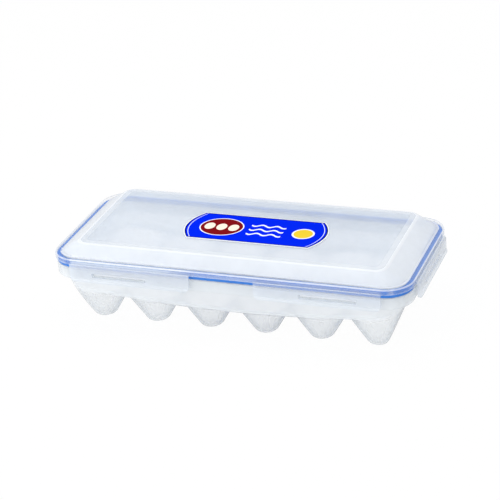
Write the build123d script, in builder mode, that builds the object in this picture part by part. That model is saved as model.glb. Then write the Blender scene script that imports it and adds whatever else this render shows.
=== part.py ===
# Egg keeper with a flip lid: two rows of six cups under a low domed lid with six locking flaps.
# Millimetres, +Z up, front towards -Y. The origin is on the floor under the middle of the keeper.
from build123d import *
import math
import os

os.makedirs("parts", exist_ok=True)

# Egg cups: a large egg is about 44 mm across and 57 mm tall, and sits blunt end down.
cups_per_row = 6
cup_rows = 2
cup_pitch = 48.1  # along the row
row_pitch = 72.0  # between the two rows
cup_foot_radius = 8.4  # flat that the keeper stands on
cup_foot_rounding = 3.5
cup_flare = 31.0  # degrees from vertical

# Tray
wall = 1.4
end_margin = 29.8  # last cup axis to the outside of the rim wall
side_margin = 29.5  # row axis to the outside of the rim wall
rim_corner_radius = 19.2
rim_top = 60.2
deck_height = 26.8  # underside between the cups, at mid length
deck_rise = 9.6  # how far the underside bows up towards the two ends
lean_top = 54.0  # below this the walls lean inwards
end_lean = 22.5  # degrees
side_lean = 5.0  # degrees

# Collar: a turned-down flange round the rim, which carries the locking bars
collar_top = 55.8
collar_bottom = 46.0
collar_reach = 2.8
collar_wall = 1.2
bar_height = 1.8
bar_reach = 1.2
bar_drop = 7.4  # hinge axis to the middle of a locking bar

# Lid
skirt_gap = 2.6  # rim wall to the inside of the skirt, room for the skirt to swing
skirt_wall = 1.4
skirt_bottom = 59.4
lid_rim_height = 64.0
rim_plate = 2.4
lid_plate = 1.4
channel_width = 4.8
channel_rib_bottom = 58.6
dome_step = 0.8
dome_side = 1.2  # thickness of the dome's sloping sides, measured level
dome_height = 74.0
panel_inset_x = 22.5
panel_inset_y = 12.9
panel_corner_radius = 9.0
lid_edge_rounding = 2.0
panel_edge_rounding = 1.2

# Gasket: a soft ring in the lid's channel, with a lip that hangs outside the rim wall
gasket_clearance = 0.3
gasket_lip = 0.8
gasket_lip_depth = 4.0

# Flaps and their living hinges
hinge_height = 59.8
hinge_gap = 0.3
hinge_bead_radius = 0.8
flap_thickness = 1.5
flap_shoulder = 1.2  # hinge axis to the top of the plate's outer face
flap_height = 13.4  # hinge axis to the lower edge
flap_lip_reach = 1.2
flap_lip_height = 1.4
flap_corner_radius = 4.5
flap_catch_reach = 0.7
flap_catch_height = 1.2
window_margin = 0.9  # flap window beyond the locking bar, all round
long_flap_length = 105.0
long_flap_spacing = 160.0  # between the middles of the two flaps of a long side
long_bar_length = 46.0
long_bar_shift = 9.0  # from the middle of its flap towards the end of the keeper
end_flap_length = 90.0
end_bar_length = 44.0

# Label
label_length = 105.0  # between the corners
label_width = 50.0
label_bow = 9.0  # how far each end bows out
label_thickness = 0.2
label_offset_x = 8.0
label_offset_y = -4.0

# Worked-out sizes
rim_half_x = (cups_per_row - 1) / 2 * cup_pitch + end_margin
rim_half_y = (cup_rows - 1) / 2 * row_pitch + side_margin
lid_overhang = skirt_gap + skirt_wall
lid_half_x = rim_half_x + lid_overhang
lid_half_y = rim_half_y + lid_overhang
hinge_offset = hinge_gap + hinge_bead_radius
hinge_x = lid_half_x + hinge_offset
hinge_y = lid_half_y + hinge_offset
channel_top = lid_rim_height - rim_plate
cavity_foot = lid_rim_height - lid_plate + dome_step
rib_inset = skirt_wall + channel_width
cavity_inset = rib_inset + dome_side
panel_length = 2 * (lid_half_x - panel_inset_x)
panel_width = 2 * (lid_half_y - panel_inset_y)
cup_places = GridLocations(cup_pitch, row_pitch, cups_per_row, cup_rows)


def rim_outline(grow, mode=Mode.ADD):
    """Rounded rectangle that follows the rim wall's outside, grown outwards by grow."""
    width = 2 * (rim_half_x + grow)
    depth = 2 * (rim_half_y + grow)
    return RectangleRounded(width, depth, rim_corner_radius + grow, mode=mode)


def lid_outline(inset, mode=Mode.ADD):
    """Rounded rectangle that follows the lid's edge, moved inwards by inset."""
    return rim_outline(lid_overhang - inset, mode)


def leaning_wall(half_width, lean):
    """Half a bowl section: upright at the rim, leaning in below it."""
    foot = half_width - lean_top * math.tan(math.radians(lean))
    return [(foot, 0), (half_width, lean_top), (half_width, rim_top)]


def bowl(inset):
    """The tray's bowl as a solid: its outside at inset 0, its hollow at inset wall."""
    with BuildPart() as envelope:
        with BuildSketch():
            rim_outline(-inset)
        extrude(amount=rim_top)
        for plane, half_width, half_depth, lean in (
            (Plane.XZ, rim_half_x, rim_half_y, end_lean),
            (Plane.YZ, rim_half_y, rim_half_x, side_lean),
        ):
            side_inset = inset / math.cos(math.radians(lean))
            right_side = leaning_wall(half_width - side_inset, lean)
            left_side = [(-x, z) for x, z in reversed(right_side)]
            with BuildSketch(plane):
                Polygon(*right_side, *left_side, align=None)
            extrude(amount=half_depth, both=True, mode=Mode.INTERSECT)

    flare = math.radians(cup_flare)
    foot_radius = cup_foot_radius + inset * math.tan(flare) - inset / math.cos(flare)
    cup_top = deck_height + deck_rise + 2 * wall
    top_radius = foot_radius + (cup_top - inset) * math.tan(flare)
    with BuildPart() as cup:
        with Locations((0, 0, inset)):
            Cone(foot_radius, top_radius, cup_top - inset, align=(Align.CENTER, Align.CENTER, Align.MIN))
        fillet(cup.edges().group_by(Axis.Z)[0], cup_foot_rounding)
    seats = []
    for place in cup_places:
        with BuildPart() as seat:
            with Locations(place):
                add(cup.part)
            add(envelope.part, mode=Mode.INTERSECT)
        seats.append(seat.part)

    with BuildPart() as shape:
        with BuildSketch(Plane.XZ):
            with BuildLine():
                deck = inset + deck_height
                left_end = (-rim_half_x, deck + deck_rise)
                right_end = (rim_half_x, deck + deck_rise)
                ThreePointArc(left_end, (0, deck), right_end)
                Polyline(right_end, (rim_half_x, rim_top), (-rim_half_x, rim_top), left_end)
            make_face()
        extrude(amount=rim_half_y, both=True)
        add(envelope.part, mode=Mode.INTERSECT)
        for seat in seats:
            add(seat)
    return shape.part


def flap_hinges():
    """Each flap's hinge plane, its length, its bar's length and how far that bar is shifted.

    A hinge plane has X along the hinge, Y outwards and Z up.
    """
    half = long_flap_spacing / 2
    front_left = Plane((-half, -hinge_y, hinge_height), x_dir=(-1, 0, 0))
    front_right = Plane((half, -hinge_y, hinge_height), x_dir=(-1, 0, 0))
    back_left = Plane((-half, hinge_y, hinge_height))
    back_right = Plane((half, hinge_y, hinge_height))
    left_end = Plane((-hinge_x, 0, hinge_height), x_dir=(0, 1, 0))
    right_end = Plane((hinge_x, 0, hinge_height), x_dir=(0, -1, 0))
    return {
        "front_flap_left": (front_left, long_flap_length, long_bar_length, long_bar_shift),
        "front_flap_right": (front_right, long_flap_length, long_bar_length, -long_bar_shift),
        "back_flap_left": (back_left, long_flap_length, long_bar_length, -long_bar_shift),
        "back_flap_right": (back_right, long_flap_length, long_bar_length, long_bar_shift),
        "end_flap_left": (left_end, end_flap_length, end_bar_length, 0),
        "end_flap_right": (right_end, end_flap_length, end_bar_length, 0),
    }


def bar_plane(hinge, shift, drop):
    """Plane on a flap's inner face, shifted along the hinge and dropped below it, with Z outwards."""
    origin = hinge.origin + hinge.x_dir * shift - hinge.z_dir * drop
    return Plane(origin, x_dir=hinge.x_dir, z_dir=hinge.y_dir)


def section_of(hinge):
    """Plane across a hinge: X outwards, Y up, Z along the hinge."""
    return Plane(hinge.origin, x_dir=hinge.y_dir, z_dir=hinge.x_dir)


# Tray: one thin moulding with its cups, rim wall, collar and locking bars
with BuildPart() as tray:
    add(bowl(0))
    add(bowl(wall), mode=Mode.SUBTRACT)
    with BuildSketch(Plane.XY.offset(collar_top)):
        rim_outline(collar_reach)
        rim_outline(-wall, mode=Mode.SUBTRACT)
    extrude(amount=-collar_wall)
    with BuildSketch(Plane.XY.offset(collar_bottom)):
        rim_outline(collar_reach)
        rim_outline(collar_reach - collar_wall, mode=Mode.SUBTRACT)
    extrude(amount=collar_top - collar_bottom)
    collar_setback = hinge_offset + lid_overhang - collar_reach
    for hinge, _, bar_length, bar_shift in flap_hinges().values():
        with BuildSketch(bar_plane(hinge, bar_shift, bar_drop).offset(-collar_setback)):
            Rectangle(bar_length, bar_height)
        extrude(amount=bar_reach)
tray.part.label = "tray"
export_step(tray.part, "parts/tray.step")

# Lid: raised panel on sloping sides, a flat rim with a gasket channel under it, and an outer skirt
with BuildPart() as lid:
    lid_foot = min(skirt_bottom, channel_rib_bottom) - wall  # below both, which are cut to their own heights
    with BuildSketch(Plane.XY.offset(lid_foot)):
        lid_outline(0)
    extrude(amount=lid_rim_height - lid_foot)
    fillet(lid.edges().group_by(Axis.Z)[-1], lid_edge_rounding)
    with BuildSketch(Plane.XY.offset(lid_rim_height)):
        lid_outline(rib_inset)
    extrude(amount=dome_step)
    with BuildSketch(Plane.XY.offset(lid_rim_height + dome_step)):
        lid_outline(rib_inset)
    with BuildSketch(Plane.XY.offset(dome_height)):
        RectangleRounded(panel_length, panel_width, panel_corner_radius)
    loft()
    fillet(lid.edges().group_by(Axis.Z)[-1], panel_edge_rounding)
    with BuildSketch(Plane.XY.offset(lid_foot)):
        lid_outline(cavity_inset)
    extrude(amount=cavity_foot - lid_foot, mode=Mode.SUBTRACT)
    with BuildSketch(Plane.XY.offset(cavity_foot)):
        lid_outline(cavity_inset)
    with BuildSketch(Plane.XY.offset(dome_height - lid_plate)):
        RectangleRounded(panel_length, panel_width, panel_corner_radius)
        offset(amount=-dome_side)
    loft(mode=Mode.SUBTRACT)
    with BuildSketch(Plane.XY.offset(lid_foot)):
        lid_outline(skirt_wall)
        lid_outline(rib_inset, mode=Mode.SUBTRACT)
    extrude(amount=channel_top - lid_foot, mode=Mode.SUBTRACT)
    with BuildSketch(Plane.XY.offset(lid_foot)):
        lid_outline(0)
        lid_outline(skirt_wall, mode=Mode.SUBTRACT)
    extrude(amount=skirt_bottom - lid_foot, mode=Mode.SUBTRACT)
    with BuildSketch(Plane.XY.offset(lid_foot)):
        lid_outline(rib_inset)
    extrude(amount=channel_rib_bottom - lid_foot, mode=Mode.SUBTRACT)
lid.part.label = "lid"
export_step(lid.part, "parts/lid.step")

# Gasket: silicone ring that fills the top of the lid's channel, with its lip outside the rim wall
with BuildPart() as gasket:
    gasket_outer = skirt_wall + gasket_clearance
    gasket_inner = rib_inset - gasket_clearance
    gasket_seat = rim_top + gasket_clearance
    with BuildSketch(Plane.XY.offset(gasket_seat)):
        lid_outline(gasket_outer)
        lid_outline(gasket_inner, mode=Mode.SUBTRACT)
    extrude(amount=channel_top - gasket_seat)
    with BuildSketch(Plane.XY.offset(gasket_seat)):
        lid_outline(gasket_outer)
        lid_outline(gasket_outer + gasket_lip, mode=Mode.SUBTRACT)
    extrude(amount=-gasket_lip_depth)
gasket.part.label = "gasket"
export_step(gasket.part, "parts/gasket.step")

# Flaps: plates that hang from living hinges on the lid's edge and lock under the tray's bars
for name, (hinge, length, bar_length, bar_shift) in flap_hinges().items():
    with BuildPart() as flap:
        with BuildSketch(section_of(hinge)):
            with BuildLine():
                Polyline(
                    (0, 0),
                    (0, -flap_height),
                    (flap_thickness + flap_lip_reach, -flap_height),
                    (flap_thickness + flap_lip_reach, flap_lip_height - flap_height),
                    (flap_thickness, flap_lip_height + flap_lip_reach - flap_height),
                    (flap_thickness, -flap_shoulder),
                    close=True,
                )
            make_face()
            Circle(hinge_bead_radius)
        extrude(amount=length / 2, both=True)
        with BuildSketch(bar_plane(hinge, 0, 0)):
            RectangleRounded(length, 2 * flap_height, flap_corner_radius)
        extrude(amount=flap_height, both=True, mode=Mode.INTERSECT)
        with BuildSketch(bar_plane(hinge, bar_shift, bar_drop)):
            Rectangle(bar_length + 2 * window_margin, bar_height + 2 * window_margin)
        extrude(amount=flap_thickness, mode=Mode.SUBTRACT)
        catch_drop = bar_drop + bar_height / 2 + window_margin + flap_catch_height / 2
        with BuildSketch(bar_plane(hinge, bar_shift, catch_drop)):
            Rectangle(bar_length, flap_catch_height)
        extrude(amount=-flap_catch_reach)
    flap.part.label = name
    export_step(flap.part, f"parts/{name}.step")

# Label: printed film with bowed ends, stuck on the panel
with BuildPart() as label:
    with BuildSketch(Plane((label_offset_x, label_offset_y, dome_height))):
        with BuildLine():
            end_x = label_length / 2
            side_y = label_width / 2
            Line((-end_x, side_y), (end_x, side_y))
            ThreePointArc((end_x, side_y), (end_x + label_bow, 0), (end_x, -side_y))
            Line((end_x, -side_y), (-end_x, -side_y))
            ThreePointArc((-end_x, -side_y), (-end_x - label_bow, 0), (-end_x, side_y))
        make_face()
    extrude(amount=label_thickness)
label.part.label = "label"
export_step(label.part, "parts/label.step")
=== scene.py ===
# Egg keeper with a flip lid, in the order it is put together: tray, gasket, lid, flaps, label.
# Sizes are in millimetres until they go into a mesh, which is in metres, +Z up, front towards -Y.
import math

import bmesh
import bpy
import numpy as np
from mathutils import Matrix, Vector


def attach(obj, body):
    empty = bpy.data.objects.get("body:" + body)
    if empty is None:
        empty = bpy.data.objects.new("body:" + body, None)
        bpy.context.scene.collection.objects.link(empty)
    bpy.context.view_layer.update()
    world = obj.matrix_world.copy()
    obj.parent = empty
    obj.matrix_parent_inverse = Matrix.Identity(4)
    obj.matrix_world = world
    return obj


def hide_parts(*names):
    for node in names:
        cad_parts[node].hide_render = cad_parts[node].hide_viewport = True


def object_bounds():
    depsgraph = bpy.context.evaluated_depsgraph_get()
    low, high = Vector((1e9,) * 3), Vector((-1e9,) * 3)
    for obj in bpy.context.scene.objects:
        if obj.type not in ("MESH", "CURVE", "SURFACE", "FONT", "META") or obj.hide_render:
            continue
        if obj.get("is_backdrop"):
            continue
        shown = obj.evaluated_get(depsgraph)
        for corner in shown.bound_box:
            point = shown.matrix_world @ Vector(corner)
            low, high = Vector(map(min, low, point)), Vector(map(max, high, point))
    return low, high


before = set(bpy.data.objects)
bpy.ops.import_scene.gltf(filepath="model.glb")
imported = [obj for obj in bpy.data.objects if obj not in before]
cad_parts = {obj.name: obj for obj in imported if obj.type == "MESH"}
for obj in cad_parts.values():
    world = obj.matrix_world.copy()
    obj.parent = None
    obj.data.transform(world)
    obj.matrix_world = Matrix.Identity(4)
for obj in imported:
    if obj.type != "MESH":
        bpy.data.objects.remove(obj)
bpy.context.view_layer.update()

# ---------------------------------------------------------------------------
# Tray bowl: one injection moulding in translucent polypropylene, 1.4 mm thick all over.
# Twelve conical cups run into a bowed underside and leaning walls, with soft radii where they meet.
# ---------------------------------------------------------------------------
MM = 0.001
wall = 1.4
rim_half_x = 150.05
rim_half_y = 65.5
rim_corner = 19.2
rim_top = 60.2
lean_top = 54.0
end_lean = math.radians(22.5)
side_lean = math.radians(5.0)
cup_pitch = 48.1
row_pitch = 72.0
foot_radius = 8.4
cup_flare = math.radians(31.0)
deck_height = 26.8
deck_rise = 9.6
foot_rounding = 3.5
valley_rounding = 2.4
ledge_rounding = 2.0
mesh_pitch = 1.5
corner_steps = 24


def add_node(tree, kind, sockets=None, **settings):
    """A node of that kind in the tree, with its settings, and each socket set or linked."""
    node = tree.nodes.new(kind)
    for name, value in settings.items():
        setattr(node, name, value)
    for name, value in (sockets or {}).items():
        if isinstance(value, bpy.types.NodeSocket):
            tree.links.new(value, node.inputs[name])
        else:
            node.inputs[name].default_value = value
    return node


def linear(hex_colour):
    """An sRGB hex colour as the linear RGBA that a colour socket takes."""
    parts = [int(hex_colour[i : i + 2], 16) / 255 for i in (1, 3, 5)]
    parts = [p / 12.92 if p <= 0.04045 else ((p + 0.055) / 1.055) ** 2.4 for p in parts]
    return (*parts, 1.0)


def translucent_polypropylene(name, colour, cover_face, cover_edge):
    """Moulded translucent PP: milky, denser where it turns away, under a glossy skin.

    The two covers are how much of what is behind it the milk hides, face on and edge on.
    """
    material = bpy.data.materials.new(name)
    material.use_nodes = True
    tree = material.node_tree
    tree.nodes.clear()
    place = add_node(tree, "ShaderNodeTexCoord").outputs["Object"]
    # Flow marks of the melt, about 30 mm long, cloud the plastic a little.
    flow = add_node(
        tree,
        "ShaderNodeTexNoise",
        {"Vector": place, "Scale": 1 / 0.030, "Detail": 3.0, "Roughness": 0.5},
    ).outputs["Fac"]
    # The mould's spark-eroded grain is near 0.1 mm. It is drawn at 0.8 mm, coarse enough to show.
    grain = add_node(
        tree,
        "ShaderNodeTexNoise",
        {"Vector": place, "Scale": 1 / 0.0008, "Detail": 2.0},
    )
    facing = add_node(tree, "ShaderNodeLayerWeight", {"Blend": 0.5}).outputs["Facing"]
    turned = add_node(tree, "ShaderNodeMath", {0: facing, 1: 2.4}, operation="POWER").outputs[0]
    cover = add_node(
        tree,
        "ShaderNodeMapRange",
        {"Value": turned, "To Min": cover_face, "To Max": cover_edge},
    ).outputs[0]
    # A piece may carry how much milkier, or below 0 how much clearer, it is at each point.
    milkier = add_node(tree, "ShaderNodeAttribute", attribute_name="milkier").outputs["Fac"]
    cover = add_node(tree, "ShaderNodeMath", {0: cover, 1: milkier}, operation="ADD").outputs[0]
    cloud = add_node(
        tree,
        "ShaderNodeMapRange",
        {"Value": flow, "From Min": 0.3, "From Max": 0.7, "To Min": 0.92, "To Max": 1.08},
    ).outputs[0]
    cover = add_node(
        tree,
        "ShaderNodeMath",
        {0: cover, 1: cloud},
        operation="MULTIPLY",
        use_clamp=True,
    ).outputs[0]
    relief = add_node(
        tree,
        "ShaderNodeBump",
        {"Height": grain.outputs["Fac"], "Strength": 0.1, "Distance": 0.00003},
    ).outputs["Normal"]
    milk = add_node(
        tree,
        "ShaderNodeBsdfPrincipled",
        {
            "Base Color": linear(colour),
            "Roughness": 0.5,
            "Specular IOR Level": 0.0,
            "Normal": relief,
        },
    )
    glow = add_node(tree, "ShaderNodeBsdfTranslucent", {"Color": linear(colour), "Normal": relief})
    body = add_node(
        tree,
        "ShaderNodeMixShader",
        {"Fac": 0.35, 1: milk.outputs[0], 2: glow.outputs[0]},
    )
    # Edge on, light takes a longer way through the wall and comes out a little greyer.
    edge_on = add_node(tree, "ShaderNodeMath", {0: facing, 1: 6.0}, operation="POWER").outputs[0]
    passed = add_node(
        tree,
        "ShaderNodeMix",
        {"Factor": edge_on, "A": (1, 1, 1, 1), "B": linear("#bcc7cf")},
        data_type="RGBA",
    ).outputs["Result"]
    clear = add_node(tree, "ShaderNodeBsdfTransparent", {"Color": passed})
    plastic = add_node(
        tree,
        "ShaderNodeMixShader",
        {"Fac": cover, 1: clear.outputs[0], 2: body.outputs[0]},
    )
    rough = add_node(tree, "ShaderNodeMapRange", {"Value": flow, "To Min": 0.16, "To Max": 0.28})
    gloss = add_node(
        tree,
        "ShaderNodeBsdfGlossy",
        {"Roughness": rough.outputs[0], "Normal": relief},
    )
    # Only the outer side of a skin shines, not the back of it seen through the plastic.
    mirror = add_node(tree, "ShaderNodeFresnel", {"IOR": 1.49, "Normal": relief}).outputs[0]
    behind = add_node(tree, "ShaderNodeNewGeometry").outputs["Backfacing"]
    front = add_node(tree, "ShaderNodeMath", {0: 1.0, 1: behind}, operation="SUBTRACT").outputs[0]
    mirror = add_node(tree, "ShaderNodeMath", {0: mirror, 1: front}, operation="MULTIPLY")
    skin = add_node(
        tree,
        "ShaderNodeMixShader",
        {"Fac": mirror.outputs[0], 1: plastic.outputs[0], 2: gloss.outputs[0]},
    )
    add_node(tree, "ShaderNodeOutputMaterial", {"Surface": skin.outputs[0]})
    return material


def make_piece(name, points, faces, material, smooth_angle):
    """A mesh object from points in millimetres, smooth but for edges sharper than the angle."""
    mesh = bpy.data.meshes.new(name)
    mesh.from_pydata((np.asarray(points) * MM).tolist(), [], [list(map(int, f)) for f in faces])
    mesh.validate()
    mesh.materials.append(material)
    mesh.shade_smooth()
    mesh.set_sharp_from_angle(angle=math.radians(smooth_angle))
    piece = bpy.data.objects.new(name, mesh)
    bpy.context.collection.objects.link(piece)
    return piece


def rounded_most(a, b, radius):
    """The greater of two distances, with the corner between them rounded over."""
    near = np.maximum(radius - np.abs(a - b), 0) / radius
    return np.maximum(a, b) + near * near * radius / 4


def deck_line(x):
    """How high the bowed underside between the cups is at that distance from mid length."""
    return deck_height + deck_rise * (x / rim_half_x) ** 2


def bowl_distance(x, y, z):
    """Roughly how far a point is outside the bowl's outer skin, in mm. Below 0 is inside."""
    deck_slope = 0.99  # the underside leans a little, so it is nearer than the drop to it
    shape = (deck_line(x) - z) * deck_slope
    for j in (-0.5, 0.5):
        for i in range(6):
            from_axis = np.hypot(x - (i - 2.5) * cup_pitch, y - j * row_pitch)
            flank = (from_axis - foot_radius) * math.cos(cup_flare) - z * math.sin(cup_flare)
            cup = rounded_most(flank, -z, foot_rounding)
            shape = -rounded_most(-shape, -cup, valley_rounding)
    sink = np.minimum(z - lean_top, 0)
    half_x = rim_half_x + sink * math.tan(end_lean) - rim_corner
    half_y = rim_half_y + sink * math.tan(side_lean) - rim_corner
    over_x = np.abs(x) - half_x
    over_y = np.abs(y) - half_y
    outside = np.hypot(np.maximum(over_x, 0), np.maximum(over_y, 0))
    walls = outside + np.minimum(np.maximum(over_x, over_y), 0) - rim_corner
    end_part = np.clip(over_x, 0, None) ** 2
    side_part = np.clip(over_y, 0, None) ** 2
    end_share = end_part / (end_part + side_part + 1e-6)
    walls = walls * (math.cos(end_lean) * end_share + math.cos(side_lean) * (1 - end_share))
    return rounded_most(shape, walls, ledge_rounding)


def bowl_normal(p):
    """Unit normals of the bowl's skin at those points, and how steeply the distance grows there."""
    step = 0.02
    ahead = [bowl_distance(*(p + step * axis).T) for axis in np.eye(3)]
    behind = [bowl_distance(*(p - step * axis).T) for axis in np.eye(3)]
    slope = np.stack([a - b for a, b in zip(ahead, behind)], axis=1) / (2 * step)
    length = np.linalg.norm(slope, axis=1, keepdims=True)
    return slope / length, length[:, 0]


def grid_lines(half):
    """The mesh's lines across that half size, each a place in mm and a share of the corner."""
    straight = half - rim_corner
    count = round(2 * straight / mesh_pitch)
    middle = np.linspace(-straight, straight, count + 1)
    gather = 1.6  # draws the lines together towards the edge
    share = 1 - (1 - np.arange(1, corner_steps + 1) / corner_steps) ** gather
    before = np.full(corner_steps, -straight)
    after = np.full(corner_steps, straight)
    places = np.concatenate([before, middle, after])
    shares = np.concatenate([-share[::-1], np.zeros(count + 1), share])
    return places, shares


line_x, share_x = grid_lines(rim_half_x)
line_y, share_y = grid_lines(rim_half_y)
place_x, place_y = np.meshgrid(line_x, line_y, indexing="ij")
corner_x, corner_y = np.meshgrid(share_x, share_y, indexing="ij")
disc_x = corner_x * np.sqrt(1 - corner_y**2 / 2)
disc_y = corner_y * np.sqrt(1 - corner_x**2 / 2)
plan_x = place_x + rim_corner * disc_x
plan_y = place_y + rim_corner * disc_y
rows, columns = plan_x.shape

# Each point of the plan drops onto the skin, then the mesh is evened out over it.
halvings = 26
evenings = 40
just_inside = 0.9999  # keeps the outermost points from falling outside the walls
pull_limit = 1.5
low = np.zeros_like(plan_x)
high = np.full_like(plan_x, lean_top)
for _ in range(halvings):
    middle = (low + high) / 2
    inside = bowl_distance(plan_x * just_inside, plan_y * just_inside, middle) < 0
    high = np.where(inside, middle, high)
    low = np.where(inside, low, middle)
skin = np.stack([plan_x, plan_y, high], axis=2)
skin[0, :, 2] = skin[-1, :, 2] = lean_top
skin[:, 0, 2] = skin[:, -1, 2] = lean_top
for _ in range(evenings):
    beside = skin[:-2, 1:-1] + skin[2:, 1:-1] + skin[1:-1, :-2] + skin[1:-1, 2:]
    inner = (beside / 4).reshape(-1, 3)
    for _ in range(2):
        normal, length = bowl_normal(inner)
        pull = np.clip(bowl_distance(*inner.T) / length, -pull_limit, pull_limit)
        inner = inner - normal * pull[:, None]
    inner[:, 2] = np.clip(inner[:, 2], 0, lean_top)
    skin[1:-1, 1:-1] = inner.reshape(rows - 2, columns - 2, 3)

outer = skin.reshape(-1, 3)
normal = bowl_normal(outer)[0]
edge_mask = np.zeros((rows, columns), bool)
edge_mask[0, :] = edge_mask[-1, :] = edge_mask[:, 0] = edge_mask[:, -1] = True
edge_mask = edge_mask.ravel()
normal[edge_mask, 2] = 0
normal[edge_mask] /= np.linalg.norm(normal[edge_mask], axis=1, keepdims=True)
inside_skin = outer - normal * wall

index = np.arange(rows * columns).reshape(rows, columns)
quads = np.stack([index[:-1, :-1], index[:-1, 1:], index[1:, 1:], index[1:, :-1]], axis=2)
quads = quads.reshape(-1, 4)
around = np.concatenate([index[:-1, 0], index[-1, :-1], index[:0:-1, -1], index[0, :0:-1]])
points = [outer, inside_skin]
faces = [quads, quads[:, ::-1] + len(outer)]
last = around
# The rim's top edge, from its outside to its inside, as (outwards, up), with both corners rounded.
rim_profile = [
    (0, -0.5),
    (-0.15, -0.15),
    (-0.5, 0),
    (0.5 - wall, 0),
    (0.15 - wall, -0.15),
    (-wall, -0.5),
]
base = 2 * len(outer)
for reach, drop in rim_profile:
    ring = outer[around] + normal[around] * reach
    ring[:, 2] = rim_top + drop
    points.append(ring)
    new = base + np.arange(len(around))
    faces.append(np.stack([last, np.roll(last, -1), np.roll(new, -1), new], axis=1))
    last = new
    base += len(around)
new = around + len(outer)
faces.append(np.stack([last, np.roll(last, -1), np.roll(new, -1), new], axis=1))

tray_plastic = translucent_polypropylene("moulded_polypropylene_tray", "#f7fafc", 0.18, 0.60)
points = np.concatenate(points)
tray_bowl = make_piece("tray_bowl", points, np.concatenate(faces), tray_plastic, 60)
# The walls are drawn milkier than the cups. Along the ledge where the long walls turn under, a band
# is drawn milkier still as a painted highlight. These are looks: the wall is as thick everywhere.
wall_milk = 0.28
ledge_highlight = 0.34
ledge_middle = 1.5
ledge_spread = 3
deck_fade = 4
long_wall_band = 6
over_deck = points[:, 2] - deck_line(points[:, 0])
at_long_wall = np.abs(points[:, 1]) > rim_half_y - long_wall_band
at_ledge_highlight = np.exp(-((over_deck - ledge_middle) ** 2) / ledge_spread) * at_long_wall
above_deck = np.clip(over_deck / deck_fade + 0.5, 0, 1)
milkier = wall_milk * above_deck + ledge_highlight * at_ledge_highlight
tray_bowl.data.attributes.new("milkier", "FLOAT", "POINT").data.foreach_set("value", milkier)
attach(tray_bowl, "tray")
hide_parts("tray")

# ---------------------------------------------------------------------------
# Collar and gasket: both follow the rounded rectangle of the rim, each with its own cross-section.
# The collar is one with the tray, turned down outside the rim wall. The gasket is a silicone ring.
# ---------------------------------------------------------------------------
collar_reach = 2.8
collar_wall = 1.2
collar_top = 55.8
collar_bottom = 46.0
collar_root = 0.3  # how far it runs into the rim wall
collar_rounding = 0.5
ring_corner_points = 20


def ring_tree():
    """Geometry nodes that sweep a cross-section round a rounded rectangle."""
    tree = bpy.data.node_groups.new("swept_ring", "GeometryNodeTree")
    for name, kind in (
        ("Length", "NodeSocketFloat"),
        ("Width", "NodeSocketFloat"),
        ("Corner Radius", "NodeSocketFloat"),
        ("Section", "NodeSocketObject"),
        ("Material", "NodeSocketMaterial"),
    ):
        tree.interface.new_socket(name, in_out="INPUT", socket_type=kind)
    tree.interface.new_socket("Geometry", in_out="OUTPUT", socket_type="NodeSocketGeometry")
    given = add_node(tree, "NodeGroupInput").outputs
    path = add_node(
        tree,
        "GeometryNodeCurvePrimitiveQuadrilateral",
        {"Width": given["Length"], "Height": given["Width"]},
        mode="RECTANGLE",
    )
    rounded = add_node(
        tree,
        "GeometryNodeFilletCurve",
        {"Curve": path.outputs[0], "Radius": given["Corner Radius"], "Count": ring_corner_points},
        mode="POLY",
    )
    upright = add_node(
        tree,
        "GeometryNodeSetCurveNormal",
        {"Curve": rounded.outputs[0]},
        mode="Z_UP",
    )
    section = add_node(
        tree,
        "GeometryNodeObjectInfo",
        {"Object": given["Section"]},
        transform_space="ORIGINAL",
    )
    sweep = add_node(
        tree,
        "GeometryNodeCurveToMesh",
        {"Curve": upright.outputs[0], "Profile Curve": section.outputs["Geometry"]},
    )
    real = add_node(tree, "GeometryNodeRealizeInstances", {"Geometry": sweep.outputs[0]})
    dressed = add_node(
        tree,
        "GeometryNodeSetMaterial",
        {"Geometry": real.outputs[0], "Material": given["Material"]},
    )
    add_node(tree, "NodeGroupOutput", {"Geometry": dressed.outputs[0]})
    return tree


def grown(name, tree, values, base=None):
    """A plain mesh object that a geometry nodes tree grows from those values and the base mesh."""
    start = bpy.data.objects.new(name + "_start", base or bpy.data.meshes.new(name + "_start"))
    bpy.context.collection.objects.link(start)
    modifier = start.modifiers.new("grow", "NODES")
    modifier.node_group = tree
    for socket in tree.interface.items_tree:
        if socket.in_out == "INPUT" and socket.name in values:
            modifier[socket.identifier] = values[socket.name]
    start.update_tag()
    ready = start.evaluated_get(bpy.context.evaluated_depsgraph_get())
    mesh = bpy.data.meshes.new_from_object(ready)
    bpy.data.objects.remove(start)
    mesh.name = name
    work = bmesh.new()
    work.from_mesh(mesh)
    bmesh.ops.remove_doubles(work, verts=work.verts, dist=1e-7)
    bmesh.ops.recalc_face_normals(work, faces=work.faces)
    work.to_mesh(mesh)
    work.free()
    mesh.shade_smooth()
    mesh.set_sharp_from_angle(angle=math.radians(50))
    piece = bpy.data.objects.new(name, mesh)
    bpy.context.collection.objects.link(piece)
    return piece


def rounded_section(corners, radius, steps=4):
    """The corners of a closed section, each cut back and rounded by up to the radius."""
    corners = [np.array(c, float) for c in corners]
    befores = corners[-1:] + corners[:-1]
    afters = corners[1:] + corners[:1]
    points = []
    for before, corner, after in zip(befores, corners, afters):
        back = before - corner
        on = after - corner
        start = corner + back * min(radius / np.linalg.norm(back), 0.45)
        stop = corner + on * min(radius / np.linalg.norm(on), 0.45)
        for t in np.linspace(0, 1, steps):
            points.append((1 - t) ** 2 * start + 2 * t * (1 - t) * corner + t * t * stop)
    return points


def section_curve(name, points):
    """A closed flat curve with those points, in millimetres."""
    curve = bpy.data.curves.new(name, "CURVE")
    curve.dimensions = "3D"
    line = curve.splines.new("POLY")
    line.points.add(len(points) - 1)
    for slot, (x, y) in zip(line.points, points):
        slot.co = (x * MM, y * MM, 0, 1)
    line.use_cyclic_u = True
    holder = bpy.data.objects.new(name, curve)
    bpy.context.collection.objects.link(holder)
    return holder


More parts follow.
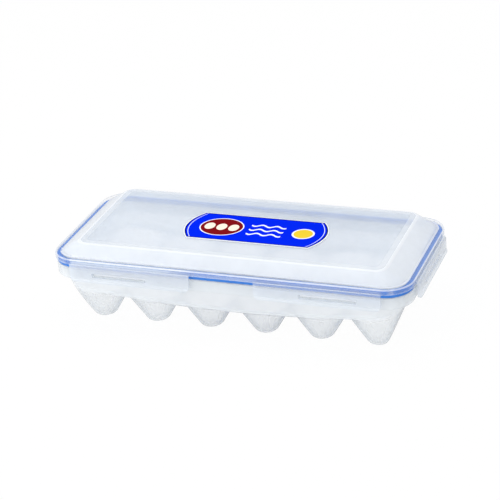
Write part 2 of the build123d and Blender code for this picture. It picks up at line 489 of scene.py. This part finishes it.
def swept(name, corners, radius, material):
    """A ring round the keeper. Its section's corners are (out, up) from the rim wall's outside."""
    section = [(out, -up) for out, up in rounded_section(corners, radius)]
    holder = section_curve(name + "_section", section)
    values = {
        "Length": 2 * rim_half_x * MM,
        "Width": 2 * rim_half_y * MM,
        "Corner Radius": rim_corner * MM,
        "Section": holder,
        "Material": material,
    }
    piece = grown(name, ring_tree(), values)
    bpy.data.objects.remove(holder)
    return piece


collar_plastic = translucent_polypropylene(
    "moulded_polypropylene_collar", "#f2f6f9", 0.46, 0.78
)
collar = swept(
    "tray_collar",
    [
        (-collar_root, collar_top - collar_wall),
        (-collar_root, collar_top),
        (collar_reach, collar_top),
        (collar_reach, collar_bottom),
        (collar_reach - collar_wall, collar_bottom),
        (collar_reach - collar_wall, collar_top - collar_wall),
    ],
    collar_rounding,
    collar_plastic,
)
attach(collar, "tray")


def moulded_silicone(name, colour, bloom_colour):
    """Moulded silicone rubber: even in colour, satin, with a faint dusty bloom on its skin."""
    material = bpy.data.materials.new(name)
    material.use_nodes = True
    tree = material.node_tree
    tree.nodes.clear()
    place = add_node(tree, "ShaderNodeTexCoord").outputs["Object"]
    # The bloom lies in patches of about 4 mm.
    bloom = add_node(
        tree,
        "ShaderNodeTexNoise",
        {"Vector": place, "Scale": 1 / 0.004, "Detail": 3.0},
    ).outputs["Fac"]
    shade = add_node(
        tree,
        "ShaderNodeMix",
        {"Factor": bloom, "A": linear(colour), "B": linear(bloom_colour)},
        data_type="RGBA",
    )
    rough = add_node(tree, "ShaderNodeMapRange", {"Value": bloom, "To Min": 0.38, "To Max": 0.55})
    rubber = add_node(
        tree,
        "ShaderNodeBsdfPrincipled",
        {"Base Color": shade.outputs["Result"], "Roughness": rough.outputs[0], "IOR": 1.41},
    )
    add_node(tree, "ShaderNodeOutputMaterial", {"Surface": rubber.outputs[0]})
    return material


lid_overhang = 4.0  # rim wall to the outside of the lid's skirt
skirt_gap = 2.6  # rim wall to the inside of the skirt
rib_inset = 6.2  # outside of the skirt to the channel's inner rib
gasket_clearance = 0.3
gasket_outer = skirt_gap - gasket_clearance
gasket_inner = lid_overhang - rib_inset + gasket_clearance
gasket_seat = 60.5
gasket_top = 62.0
gasket_lip = 0.8
gasket_lip_depth = 4.2
gasket_rounding = 0.35
gasket = swept(
    "gasket_ring",
    [
        (gasket_inner, gasket_top),
        (gasket_outer, gasket_top),
        (gasket_outer, gasket_seat - gasket_lip_depth),
        (gasket_outer - gasket_lip, gasket_seat - gasket_lip_depth),
        (gasket_outer - gasket_lip, gasket_seat),
        (gasket_inner, gasket_seat),
    ],
    gasket_rounding,
    moulded_silicone("moulded_silicone_blue", "#2468c6", "#3f86dc"),
)
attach(gasket, "lid")
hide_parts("gasket")

# ---------------------------------------------------------------------------
# Locking bars: six short ribs on the collar that the flaps snap over, part of the tray's moulding.
# One rib with rounded ends is set at each place, turned to its side and stretched to its length.
# ---------------------------------------------------------------------------
bar_height = 1.8
bar_reach = 1.2
bar_drop = 7.4
hinge_height = 59.8
flap_spacing = 160.0
bar_shift = 9.0
long_bar = 46.0
end_bar = 44.0
rib_root = 0.3  # how far a rib runs into what carries it
rib_rounding = 0.4


def unit_rib(name, depth, height):
    """A rounded rib one metre long along X, that sticks out by its depth along -Y."""
    top = height / 2
    corners = [(rib_root, -top), (rib_root, top), (-depth, top), (-depth, -top)]
    section = rounded_section(corners, rib_rounding)
    points = [(end, y * MM, z * MM) for end in (-0.5, 0.5) for y, z in section]
    count = len(section)
    faces = [list(range(count))[::-1], list(range(count, 2 * count))]
    faces += [[k, (k + 1) % count, count + (k + 1) % count, count + k] for k in range(count)]
    mesh = bpy.data.meshes.new(name)
    mesh.from_pydata(points, [], faces)
    holder = bpy.data.objects.new(name, mesh)
    bpy.context.collection.objects.link(holder)
    return holder


def rib_tree():
    """Geometry nodes that put a rib at each point, with the point's own turn and length."""
    tree = bpy.data.node_groups.new("set_ribs", "GeometryNodeTree")
    for name, kind in (
        ("Points", "NodeSocketGeometry"),
        ("Rib", "NodeSocketObject"),
        ("Material", "NodeSocketMaterial"),
    ):
        tree.interface.new_socket(name, in_out="INPUT", socket_type=kind)
    tree.interface.new_socket("Geometry", in_out="OUTPUT", socket_type="NodeSocketGeometry")
    given = add_node(tree, "NodeGroupInput").outputs
    rib = add_node(
        tree,
        "GeometryNodeObjectInfo",
        {"Object": given["Rib"]},
        transform_space="ORIGINAL",
    )
    turn, length = (
        add_node(tree, "GeometryNodeInputNamedAttribute", {"Name": name}, data_type="FLOAT")
        for name in ("turn", "length")
    )
    rotation = add_node(tree, "ShaderNodeCombineXYZ", {"Z": turn.outputs["Attribute"]})
    scale = add_node(
        tree,
        "ShaderNodeCombineXYZ",
        {"X": length.outputs["Attribute"], "Y": 1.0, "Z": 1.0},
    )
    placed = add_node(
        tree,
        "GeometryNodeInstanceOnPoints",
        {
            "Points": given["Points"],
            "Instance": rib.outputs["Geometry"],
            "Rotation": rotation.outputs[0],
            "Scale": scale.outputs[0],
        },
    )
    real = add_node(tree, "GeometryNodeRealizeInstances", {"Geometry": placed.outputs[0]})
    dressed = add_node(
        tree,
        "GeometryNodeSetMaterial",
        {"Geometry": real.outputs[0], "Material": given["Material"]},
    )
    add_node(tree, "NodeGroupOutput", {"Geometry": dressed.outputs[0]})
    return tree


def ribs(name, places, depth, height, material):
    """A rib at each place: x, y, z and length in mm, and turn in degrees from facing the front."""
    mesh = bpy.data.meshes.new(name + "_places")
    mesh.from_pydata([(x * MM, y * MM, z * MM) for x, y, z, _, _ in places], [], [])
    turns = [math.radians(turn) for *_, turn in places]
    lengths = [length * MM for *_, length, _ in places]
    mesh.attributes.new("turn", "FLOAT", "POINT").data.foreach_set("value", turns)
    mesh.attributes.new("length", "FLOAT", "POINT").data.foreach_set("value", lengths)
    holder = unit_rib(name + "_one", depth, height)
    piece = grown(name, rib_tree(), {"Rib": holder, "Material": material}, mesh)
    bpy.data.objects.remove(holder)
    return piece


def six_places(along, out_y, out_x, z, long_length, end_length):
    """One place for each flap: two in front, two behind and one at each end, facing outwards."""
    return [
        (-along, -out_y, z, long_length, 0),
        (along, -out_y, z, long_length, 0),
        (-along, out_y, z, long_length, 180),
        (along, out_y, z, long_length, 180),
        (-out_x, 0, z, end_length, -90),
        (out_x, 0, z, end_length, 90),
    ]


bar_places = six_places(
    flap_spacing / 2 + bar_shift,
    rim_half_y + collar_reach,
    rim_half_x + collar_reach,
    hinge_height - bar_drop,
    long_bar,
    end_bar,
)
# The bars are drawn nearly opaque and white, partly for their solid plastic and partly as painted
# light that lifts them out of the shade behind the flaps' windows.
lightened_bar_plastic = translucent_polypropylene("solid_polypropylene_bars_lightened", "#fafcfe", 0.88, 0.95)
bars = ribs("tray_locking_bars", bar_places, bar_reach, bar_height, lightened_bar_plastic)
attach(bars, "tray")

# ---------------------------------------------------------------------------
# Lid: one moulding in the same plastic, with plates of 1.4 mm. A flat panel stands on sloping sides
# above a thicker rim. Under the rim are the gasket's channel, its inner rib and the outer skirt.
# ---------------------------------------------------------------------------
lid_half_x = 154.05
lid_half_y = 69.5
lid_corner = 23.2
lid_plate = 1.4
skirt_bottom = 59.4
lid_rim = 64.0
rim_flat_inset = 4.3  # outside of the skirt to the milky strip at the slope's foot
panel_half_x = 131.55
panel_half_y = 56.6
panel_corner = 9.0
panel_border = 6.0
border_corner = 4
dome_height = 74.0
dome_foot = 64.8
dome_wall = 1.2
cavity_inset = 7.4
ceiling = 72.6
channel_top = 62.4
rib_bottom = 58.6
panel_bend = 2.0
rim_bend = 1.7
corner_arc_steps = 14
long_side_steps = 60
short_side_steps = 26


def level(inset, z):
    """A line round the lid: half length, half width, corner radius and height."""
    return (lid_half_x - inset, lid_half_y - inset, lid_corner - inset, z)


def panel_level(inset, corner, z):
    """A line round the raised panel, in the same terms."""
    return (panel_half_x - inset, panel_half_y - inset, corner, z)


def outline_ring(half_x, half_y, corner, z):
    """Points round a rounded rectangle, the same number on each ring."""
    ring = []
    sides = (
        (half_x - corner, half_y - corner, 0, long_side_steps),
        (-(half_x - corner), half_y - corner, 90, short_side_steps),
        (-(half_x - corner), -(half_y - corner), 180, long_side_steps),
        (half_x - corner, -(half_y - corner), 270, short_side_steps),
    )
    for k, (centre_x, centre_y, start, count) in enumerate(sides):
        for t in np.linspace(0, 90, corner_arc_steps + 1):
            a = math.radians(start + t)
            ring.append((centre_x + corner * math.cos(a), centre_y + corner * math.sin(a), z))
        here = np.array(ring[-1])
        a = math.radians(start + 90)
        next_x, next_y = sides[(k + 1) % 4][:2]
        there = np.array((next_x + corner * math.cos(a), next_y + corner * math.sin(a), z))
        for t in np.arange(1, count) / count:
            ring.append(tuple(here + (there - here) * t))
    return ring


def rounded_levels(levels):
    """Levels with their corners rounded, and the finish of the strip that follows each of them.

    Each level ends with its rounding in mm and the finish of the face after it.
    The panel's edge rounding and the upper part of the rim's outer rounding are drawn milky white,
    partly for the thicker plastic there and partly as a painted highlight.
    """
    out = []
    finishes = []
    values = [np.array(v[:4], float) for v in levels]
    for k, (*_, rounding, finish) in enumerate(levels):
        if not rounding:
            out.append(values[k])
            finishes.append(finish)
            continue
        back = values[k - 1] - values[k]
        on = values[k + 1] - values[k]
        start = values[k] + back * min(rounding / np.linalg.norm(back), 0.48)
        stop = values[k] + on * min(rounding / np.linalg.norm(on), 0.48)
        for t in np.linspace(0, 1, 5):
            out.append((1 - t) ** 2 * start + 2 * t * (1 - t) * values[k] + t * t * stop)
        finishes += bend_finishes.get(rounding, [finish] * 4) + [finish]
    return out, finishes


# The finishes, in the order of the lid's materials.
FROSTED, PANEL, MILK_AND_HIGHLIGHT, WINDOW, SLOPE, WALL = range(6)
# The milky white finish on the panel's edge rounding and the rim's outer rounding is partly the
# thicker plastic there and partly a painted highlight. On the flat of the rim by the slope's foot
# the same finish is only milky.
bend_finishes = {panel_bend: [MILK_AND_HIGHLIGHT] * 4, rim_bend: [WINDOW, MILK_AND_HIGHLIGHT, MILK_AND_HIGHLIGHT, MILK_AND_HIGHLIGHT]}
panel_middle = panel_border + 2
# From the middle of the panel's underside outwards, down round the skirt, and back over the top.
lid_levels, strip_finishes = rounded_levels(
    [
        (*panel_level(panel_middle, border_corner, ceiling), 0, PANEL),
        (*panel_level(panel_border, border_corner, ceiling), 0, FROSTED),
        (*panel_level(dome_wall, panel_corner - dome_wall, ceiling), 1.5, SLOPE),
        (*level(cavity_inset, dome_foot - lid_plate), 1.2, WALL),
        (*level(cavity_inset, rib_bottom), 0.3, WINDOW),
        (*level(rib_inset, rib_bottom), 0.3, WINDOW),
        (*level(rib_inset, channel_top), 0.4, WINDOW),
        (*level(lid_plate, channel_top), 0.4, PANEL),
        (*level(lid_plate, skirt_bottom), 0.3, FROSTED),
        (*level(0, skirt_bottom), 0.3, PANEL),
        (*level(0, lid_rim), rim_bend, WINDOW),
        (*level(rim_flat_inset, lid_rim), 0, MILK_AND_HIGHLIGHT),
        (*level(rib_inset, lid_rim), 0.4, SLOPE),
        (*level(rib_inset + 0.3, dome_foot), 0.8, SLOPE),
        (*panel_level(0, panel_corner, dome_height), panel_bend, FROSTED),
        (*panel_level(panel_border, border_corner, dome_height), 0, PANEL),
        (*panel_level(panel_middle, border_corner, dome_height), 0, PANEL),
    ]
)
lid_points = [p for values in lid_levels for p in outline_ring(*values)]
around_y = [p[1] for p in outline_ring(*lid_levels[0])]
ring_index = np.arange(len(lid_points)).reshape(-1, len(around_y))
lid_faces = []
lid_finishes = []
for near, far, finish in zip(ring_index[:-1], ring_index[1:], strip_finishes):
    lid_faces += np.stack([near, far, np.roll(far, -1), np.roll(near, -1)], axis=1).tolist()
    # The blue of the wall stands for the gasket beyond it, and is drawn round the back half alone.
    lid_finishes += [WINDOW if finish == WALL and y < 0 else finish for y in around_y]
lid_faces += [ring_index[0].tolist(), ring_index[-1][::-1].tolist()]
lid_finishes += [PANEL, PANEL]
lid_plastic = translucent_polypropylene("moulded_polypropylene_lid", "#eff4fa", 0.46, 0.70)
lid_panel = translucent_polypropylene("moulded_polypropylene_panel", "#eaf2fd", 0.27, 0.58)
# This finish is milky; on the panel's and rim's roundings it is also a painted highlight.
lid_milk_and_highlight = translucent_polypropylene("moulded_polypropylene_milk_and_painted_highlight", "#fafcff", 0.80, 0.92)
lid_window = translucent_polypropylene("polished_polypropylene_rim", "#cfe2f6", 0.06, 0.26)
lid_slope = translucent_polypropylene("moulded_polypropylene_slope", "#f2f6fb", 0.78, 0.93)
lid_wall = translucent_polypropylene("polished_polypropylene_wall", "#2f90ee", 0.48, 0.74)
lid_shell = make_piece("lid_shell", lid_points, lid_faces, lid_plastic, 50)
for finish in (lid_panel, lid_milk_and_highlight, lid_window, lid_slope, lid_wall):
    lid_shell.data.materials.append(finish)
lid_shell.data.polygons.foreach_set("material_index", lid_finishes)
# The skirt is drawn milkier at the front on the left as a painted highlight, which also hides the
# gasket's lip there, and clearer at the four corners. The flat of the rim is drawn clear at the
# left end. These are looks, not wall thickness.
left_highlight = 0.5
left_from = 25
left_fade = 30
corner_clearness = 0.22
corner_from_x = 130
corner_from_y = 44
corner_fade = 4
rim_clearness = 0.85
end_band = 12
side_band = 2
x, y, z = np.array(lid_points).T
at_edge = (np.abs(x) > lid_half_x - end_band) | (np.abs(y) > lid_half_y - side_band)
at_skirt = at_edge & (z < lid_rim - 0.1) & (z > skirt_bottom - 0.1)
at_left = np.clip((-x - left_from) / left_fade, 0, 1) * (y < side_band - lid_half_y)
near_end = np.clip((np.abs(x) - corner_from_x) / corner_fade, 0, 1)
near_side = np.clip((np.abs(y) - corner_from_y) / corner_fade, 0, 1)
at_corner = near_end * near_side
on_rim = (np.abs(z - lid_rim) < 0.05) & (x < rib_inset + 0.1 - lid_half_x)
milkier = at_skirt * (left_highlight * at_left * (1 - at_corner) - corner_clearness * at_corner)
milkier -= rim_clearness * on_rim
lid_shell.data.attributes.new("milkier", "FLOAT", "POINT").data.foreach_set("value", milkier)
work = bmesh.new()
work.from_mesh(lid_shell.data)
bmesh.ops.recalc_face_normals(work, faces=work.faces)
work.to_mesh(lid_shell.data)
work.free()
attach(lid_shell, "lid")
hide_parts("lid")

# ---------------------------------------------------------------------------
# Living hinges: six thin webs of the lid's own plastic, from the lid's edge to the bead of each
# flap. Each stays put as its flap turns, because the bead turns about its own middle.
# ---------------------------------------------------------------------------
web_height = 0.5
web_reach = 0.6
web_margin = 4
long_flap = 105.0
end_flap = 90.0
web_places = six_places(
    flap_spacing / 2,
    lid_half_y,
    lid_half_x,
    hinge_height,
    long_flap - web_margin,
    end_flap - web_margin,
)
webs = ribs("living_hinge_webs", web_places, web_reach, web_height, lid_plastic)
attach(webs, "lid")

# ---------------------------------------------------------------------------
# Flaps: 1.5 mm plates moulded with the lid, each with a window that snaps over its locking bar.
# Their moulded edges are rounded by 0.3 mm.
# ---------------------------------------------------------------------------
flap_edge = 0.3
flap_crease = math.radians(40)
clear_from = 56.2
clear_above = 57.0
hinge_clearness = 0.26
long_side_from = 60
for flap_name in (
    "front_flap_left",
    "front_flap_right",
    "end_flap_left",
    "end_flap_right",
    "back_flap_left",
    "back_flap_right",
):
    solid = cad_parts[flap_name]
    mesh = solid.data.copy()
    work = bmesh.new()
    work.from_mesh(mesh)
    bmesh.ops.transform(work, matrix=solid.matrix_world, verts=work.verts)
    bmesh.ops.remove_doubles(work, verts=work.verts, dist=1e-6)
    bmesh.ops.dissolve_limit(
        work,
        angle_limit=math.radians(1.0),
        verts=work.verts,
        edges=work.edges,
    )
    for z in (clear_from, clear_above):
        whole = work.verts[:] + work.edges[:] + work.faces[:]
        bmesh.ops.bisect_plane(work, geom=whole, plane_co=(0, 0, z * MM), plane_no=(0, 0, 1))
    work.to_mesh(mesh)
    work.free()
    mesh.materials.clear()
    mesh.materials.append(lid_plastic)
    # On the right the long flaps are drawn clearer near their hinge, so that the gasket's lip
    # shows through.
    x, y, z = np.array([v.co for v in mesh.vertices]).T / MM
    at_hinge = np.clip((z - clear_from) / (clear_above - clear_from), 0, 1)
    on_right = (x > 0) & (np.abs(y) > long_side_from)
    milkier = -hinge_clearness * at_hinge * on_right
    mesh.attributes.new("milkier", "FLOAT", "POINT").data.foreach_set("value", milkier)
    flap = bpy.data.objects.new(flap_name + "_plate", mesh)
    bpy.context.collection.objects.link(flap)
    soften = flap.modifiers.new("soften", "BEVEL")
    soften.width = flap_edge * MM
    soften.segments = 2
    soften.limit_method = "ANGLE"
    soften.angle_limit = flap_crease
    mesh.shade_smooth()
    mesh.set_sharp_from_angle(angle=flap_crease)
    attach(flap, flap_name)
    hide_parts(flap_name)

# ---------------------------------------------------------------------------
# Label: printed plastic film with bowed ends, stuck flat on the panel.
# Its print is a plain kitchen design: a row of eggs on a dark red spot, three waves and a yellow
# sun on blue.
# ---------------------------------------------------------------------------
label_x = 8.0
label_y = -4.0
label_half = 52.5
label_side = 25.0
label_bow = 9.0
label_film = 0.2
label_blue = "#0426e6"


def printed_film():
    """Matt printed film: each motif is a shape in millimetres from the label's middle."""
    material = bpy.data.materials.new("printed_polypropylene_film")
    material.use_nodes = True
    tree = material.node_tree
    tree.nodes.clear()
    place = add_node(tree, "ShaderNodeTexCoord").outputs["Object"]
    centred = add_node(
        tree,
        "ShaderNodeMapping",
        {"Vector": place, "Location": (-label_x, -label_y, 0), "Scale": (1000, 1000, 0)},
    ).outputs[0]
    axes = add_node(tree, "ShaderNodeSeparateXYZ", {"Vector": centred}).outputs

    def sum_of(operation, a, b=0.0):
        return add_node(tree, "ShaderNodeMath", {0: a, 1: b}, operation=operation).outputs[0]

    def printed(under, mask, ink):
        return add_node(
            tree,
            "ShaderNodeMix",
            {"Factor": mask, "A": under, "B": linear(ink)},
            data_type="RGBA",
        ).outputs["Result"]

    def oval(x, half_long, half_wide):
        off = add_node(
            tree,
            "ShaderNodeVectorMath",
            {0: centred, 1: (x, 0, 0)},
            operation="SUBTRACT",
        )
        scaled = add_node(
            tree,
            "ShaderNodeVectorMath",
            {0: off.outputs[0], 1: (half_long, half_wide, 1)},
            operation="DIVIDE",
        )
        far = add_node(tree, "ShaderNodeVectorMath", {0: scaled.outputs[0]}, operation="LENGTH")
        return sum_of("LESS_THAN", far.outputs["Value"], 1.0)

    bow = sum_of("POWER", sum_of("DIVIDE", sum_of("ABSOLUTE", axes["Y"]), label_side), 2.0)
    end = sum_of("SUBTRACT", label_half + label_bow, sum_of("MULTIPLY", bow, label_bow))
    from_end = sum_of("SUBTRACT", end, sum_of("ABSOLUTE", axes["X"]))
    from_side = sum_of("SUBTRACT", label_side, sum_of("ABSOLUTE", axes["Y"]))
    from_edge = sum_of("MINIMUM", from_end, from_side)
    # A pale pinstripe inside each bowed end, then a dark line and a white border all round.
    colour = printed(linear(label_blue), sum_of("LESS_THAN", from_end, 4.0), "#dfe6fb")
    colour = printed(colour, sum_of("LESS_THAN", from_end, 3.4), label_blue)
    colour = printed(colour, sum_of("LESS_THAN", from_edge, 1.8), "#10164e")
    colour = printed(colour, sum_of("LESS_THAN", from_edge, 0.8), "#f4f6fb")
    # Three eggs in a row on a dark red oval with a white edge.
    eggs_x = -30
    egg_pitch = 10.5
    colour = printed(colour, oval(eggs_x, 19, 16.5), "#f2f3f8")
    colour = printed(colour, oval(eggs_x, 18, 15.5), "#7b1218")
    for k in (-1, 0, 1):
        colour = printed(colour, oval(eggs_x + k * egg_pitch, 4.4, 6.2), "#f6e6d6")
    # Three waves, one over the other.
    waves_x = 9.0
    wave_pitch = 8.0
    wave_half_width = 1.1
    wave_half_length = 15.0
    swell = sum_of("SINE", sum_of("MULTIPLY", axes["X"], 0.5))
    swell = sum_of("MULTIPLY", swell, 1.6)
    from_waves = sum_of("ABSOLUTE", sum_of("SUBTRACT", axes["X"], waves_x))
    reach = sum_of("LESS_THAN", from_waves, wave_half_length)
    for k in (-1, 0, 1):
        off = sum_of("SUBTRACT", sum_of("SUBTRACT", axes["Y"], wave_pitch * k), swell)
        line = sum_of("LESS_THAN", sum_of("ABSOLUTE", off), wave_half_width)
        colour = printed(colour, sum_of("MULTIPLY", line, reach), "#eef2fc")
    # A yellow sun with a white edge.
    sun_x = 41
    colour = printed(colour, oval(sun_x, 9.5, 9.5), "#f3f5fb")
    colour = printed(colour, oval(sun_x, 8.0, 8.0), "#e9c93a")
    # The print's roughness drifts over about 12 mm, which doesn't show while the film is matt.
    smear = add_node(
        tree,
        "ShaderNodeTexNoise",
        {"Vector": place, "Scale": 1 / 0.012, "Detail": 2.0},
    ).outputs["Fac"]
    rough = add_node(tree, "ShaderNodeMapRange", {"Value": smear, "To Min": 0.22, "To Max": 0.36})
    film = add_node(
        tree,
        "ShaderNodeBsdfPrincipled",
        {
            "Base Color": colour,
            "Roughness": rough.outputs[0],
            "IOR": 1.49,
            "Specular IOR Level": 0.0,
        },
    )
    add_node(tree, "ShaderNodeOutputMaterial", {"Surface": film.outputs[0]})
    return material


def label_outline(inset):
    """The label's outline moved inwards: straight long sides and bowed ends."""
    side = label_side - inset
    end_points = 33
    spread = np.linspace(-side, side, end_points)
    right = [(label_half - inset + label_bow * (1 - (v / label_side) ** 2), v) for v in spread]
    left = [(-x, -v) for x, v in right]
    return [(label_x + x, label_y + v) for x, v in right + left]


# The film's upper edge is broken a little, 0.1 mm in and 0.05 mm down.
label_points = []
for inset, z in ((0, 0), (0, label_film - 0.05), (0.1, label_film)):
    label_points += [(x, y, dome_height + z) for x, y in label_outline(inset)]
count = len(label_points) // 3
label_faces = [list(range(count))[::-1], list(range(2 * count, 3 * count))]
for ring in range(2):
    for k in range(count):
        a = ring * count + k
        b = ring * count + (k + 1) % count
        label_faces.append([a, b, b + count, a + count])
label = make_piece("label_film_print", label_points, label_faces, printed_film(), 30)
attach(label, "lid")
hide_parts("label")

# ---------------------------------------------------------------------------
# Studio: a pale floor, a large soft light overhead, a smaller one in front on the left, and a
# white surround.
# The camera stands 1.53 m away, 25 degrees up and 21 degrees round to the right.
# ---------------------------------------------------------------------------
scene = bpy.context.scene
camera_round = math.radians(20.94)
camera_up = math.radians(25.46)
camera_roll = math.radians(4.0)
camera_far = 1.52664
aim_height = 0.04787
focal_pixels = 1803.43
frame_pixels = 500
sensor_width = 36
level_ahead = Vector((-math.sin(camera_round), math.cos(camera_round), 0))
ahead = level_ahead * math.cos(camera_up) - Vector((0, 0, math.sin(camera_up)))
right = Vector((math.cos(camera_round), math.sin(camera_round), 0))
up = right.cross(ahead)
across = right * math.cos(camera_roll) - up * math.sin(camera_roll)
upright = right * math.sin(camera_roll) + up * math.cos(camera_roll)
camera = bpy.data.objects.new("camera", bpy.data.cameras.new("camera"))
bpy.context.collection.objects.link(camera)
turned = Matrix((across, upright, -ahead)).transposed()
camera.matrix_world = Matrix.Translation(up * aim_height - ahead * camera_far) @ turned.to_4x4()
camera.data.sensor_width = sensor_width
camera.data.lens = focal_pixels / frame_pixels * sensor_width
camera.data.clip_end = 20
scene.camera = camera

floor_mesh = bpy.data.meshes.new("studio_floor")
floor_mesh.from_pydata([(-3, -3, 0), (3, -3, 0), (3, 5, 0), (-3, 5, 0)], [], [(0, 1, 2, 3)])
floor = bpy.data.objects.new("studio_floor", floor_mesh)
bpy.context.collection.objects.link(floor)
floor_paper = bpy.data.materials.new("white_studio_paper")
floor_paper.use_nodes = True
paper = floor_paper.node_tree
paper.nodes.clear()
ray = add_node(paper, "ShaderNodeLightPath").outputs["Is Camera Ray"]
share = add_node(paper, "ShaderNodeMath", {0: ray, 1: 0.97}, operation="MULTIPLY").outputs[0]
dull = add_node(paper, "ShaderNodeBsdfDiffuse", {"Color": (0.9, 0.9, 0.9, 1)})
white = add_node(paper, "ShaderNodeEmission", {"Color": (1, 1, 1, 1), "Strength": 1.0})
blend = add_node(
    paper,
    "ShaderNodeMixShader",
    {"Fac": share, 1: dull.outputs[0], 2: white.outputs[0]},
)
add_node(paper, "ShaderNodeOutputMaterial", {"Surface": blend.outputs[0]})
floor_mesh.materials.append(floor_paper)
floor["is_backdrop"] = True

world = bpy.data.worlds.new("studio_surround")
scene.world = world
world.use_nodes = True
sky = world.node_tree
sky.nodes.clear()
rays = add_node(sky, "ShaderNodeLightPath").outputs
seen = add_node(
    sky,
    "ShaderNodeMath",
    {0: rays["Is Camera Ray"], 1: rays["Is Glossy Ray"]},
    operation="MAXIMUM",
).outputs[0]
strength = add_node(sky, "ShaderNodeMapRange", {"Value": seen, "To Min": 0.83, "To Max": 1.0})
surround = add_node(
    sky,
    "ShaderNodeBackground",
    {"Color": (1, 1, 1, 1), "Strength": strength.outputs[0]},
)
add_node(sky, "ShaderNodeOutputWorld", {"Surface": surround.outputs[0]})

# Each lamp's place and size are in metres and its power is in watts. It faces the keeper.
for name, place, size, power in (
    ("top_softbox", (-0.1, 0.0, 1.4), 1.1, 6.5),
    ("front_softbox", (-0.9, -1.4, 0.7), 0.8, 8.0),
):
    lamp = bpy.data.lights.new(name, "AREA")
    lamp.shape = "SQUARE"
    lamp.size = size
    lamp.energy = power
    holder = bpy.data.objects.new(name, lamp)
    bpy.context.collection.objects.link(holder)
    holder.location = place
    holder.rotation_mode = "QUATERNION"
    holder.rotation_quaternion = Vector(place).to_track_quat("Z", "Y")

scene.view_settings.view_transform = "Standard"
scene.cycles.transparent_max_bounces = 48

low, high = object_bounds()
